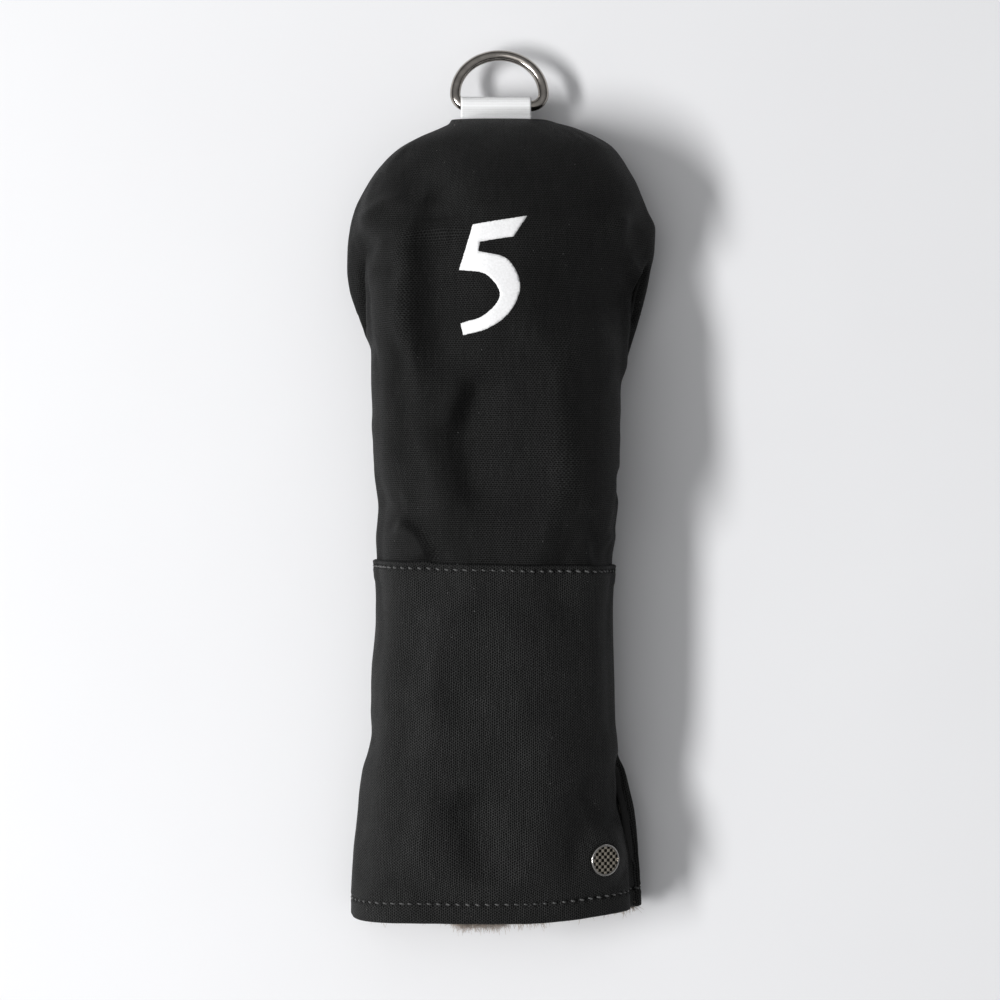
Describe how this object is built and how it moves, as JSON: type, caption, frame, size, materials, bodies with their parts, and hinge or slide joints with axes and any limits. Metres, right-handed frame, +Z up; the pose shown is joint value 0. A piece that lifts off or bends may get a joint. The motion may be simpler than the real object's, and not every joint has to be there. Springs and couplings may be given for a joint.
{
  "type": "fairway wood headcover",
  "caption": "Black cloth headcover for a fairway wood: padded head and open sleeve with boa lining, a white club number, a stud, and a D-ring in a webbing loop.",
  "frame": {"origin": "on the flat of the back, on the centre line, half way between the hem edge and the crown seam", "axes": "the cover lies on its back: +Z up through the front face, +Y from the mouth to the crown, +X to the right of the front face"},
  "size_m": [0.1117, 0.311, 0.0544],
  "materials": {
    "head_twill": "fine matt twill",
    "sleeve_canvas": "plain-weave canvas",
    "wadding": "loose polyester wadding",
    "boa_lining": "short boa pile",
    "elastic": "covered elastic",
    "seam_tape": "binding tape",
    "thread": "glossy polyester thread",
    "number_film": "matt transfer film",
    "webbing": "ribbed flat webbing",
    "ring_metal": "polished gunmetal",
    "stud_metal": "polished nickel",
    "stud_face": "dark turned face"
  },
  "bodies": {
    "cover": {"head_front_panel": "head_twill", "head_back_panel": "head_twill", "sleeve_front_panel": "sleeve_canvas", "sleeve_back_panel": "sleeve_canvas", "head_wadding_front": "wadding", "head_wadding_back": "wadding", "sleeve_wadding_front": "wadding", "sleeve_wadding_back": "wadding", "lining_front": "boa_lining", "lining_back": "boa_lining", "neck_elastic": "elastic", "head_seam_tape_left": "seam_tape", "head_seam_tape_right": "seam_tape", "sleeve_seam_tape_left": "seam_tape", "sleeve_seam_tape_right": "seam_tape", "band_topstitch": "thread", "hem_topstitch": "thread", "crown_stitching": "thread", "club_number": "number_film", "webbing_tails": "webbing", "stud_cap": "stud_metal", "stud_inlay": "stud_face", "stud_post": "stud_metal", "stud_back_plate": "stud_metal"},
    "loop": {"webbing_loop": "webbing"},
    "ring": {"d_ring": "ring_metal"}
  },
  "joints": [
    {"name": "loop_fold", "type": "hinge", "parent": "cover", "child": "loop", "pos_m": [0, 0.14395, 0.014], "axis": [1, 0, 0], "range_deg": [-20, 30], "stiffness_Nm_per_rad": 0.01},
    {"name": "ring_swing", "type": "hinge", "parent": "loop", "child": "ring", "pos_m": [0, 0.14757, 0.01323], "axis": [1, 0, 0], "range_deg": [-85, 85]}
  ]
}
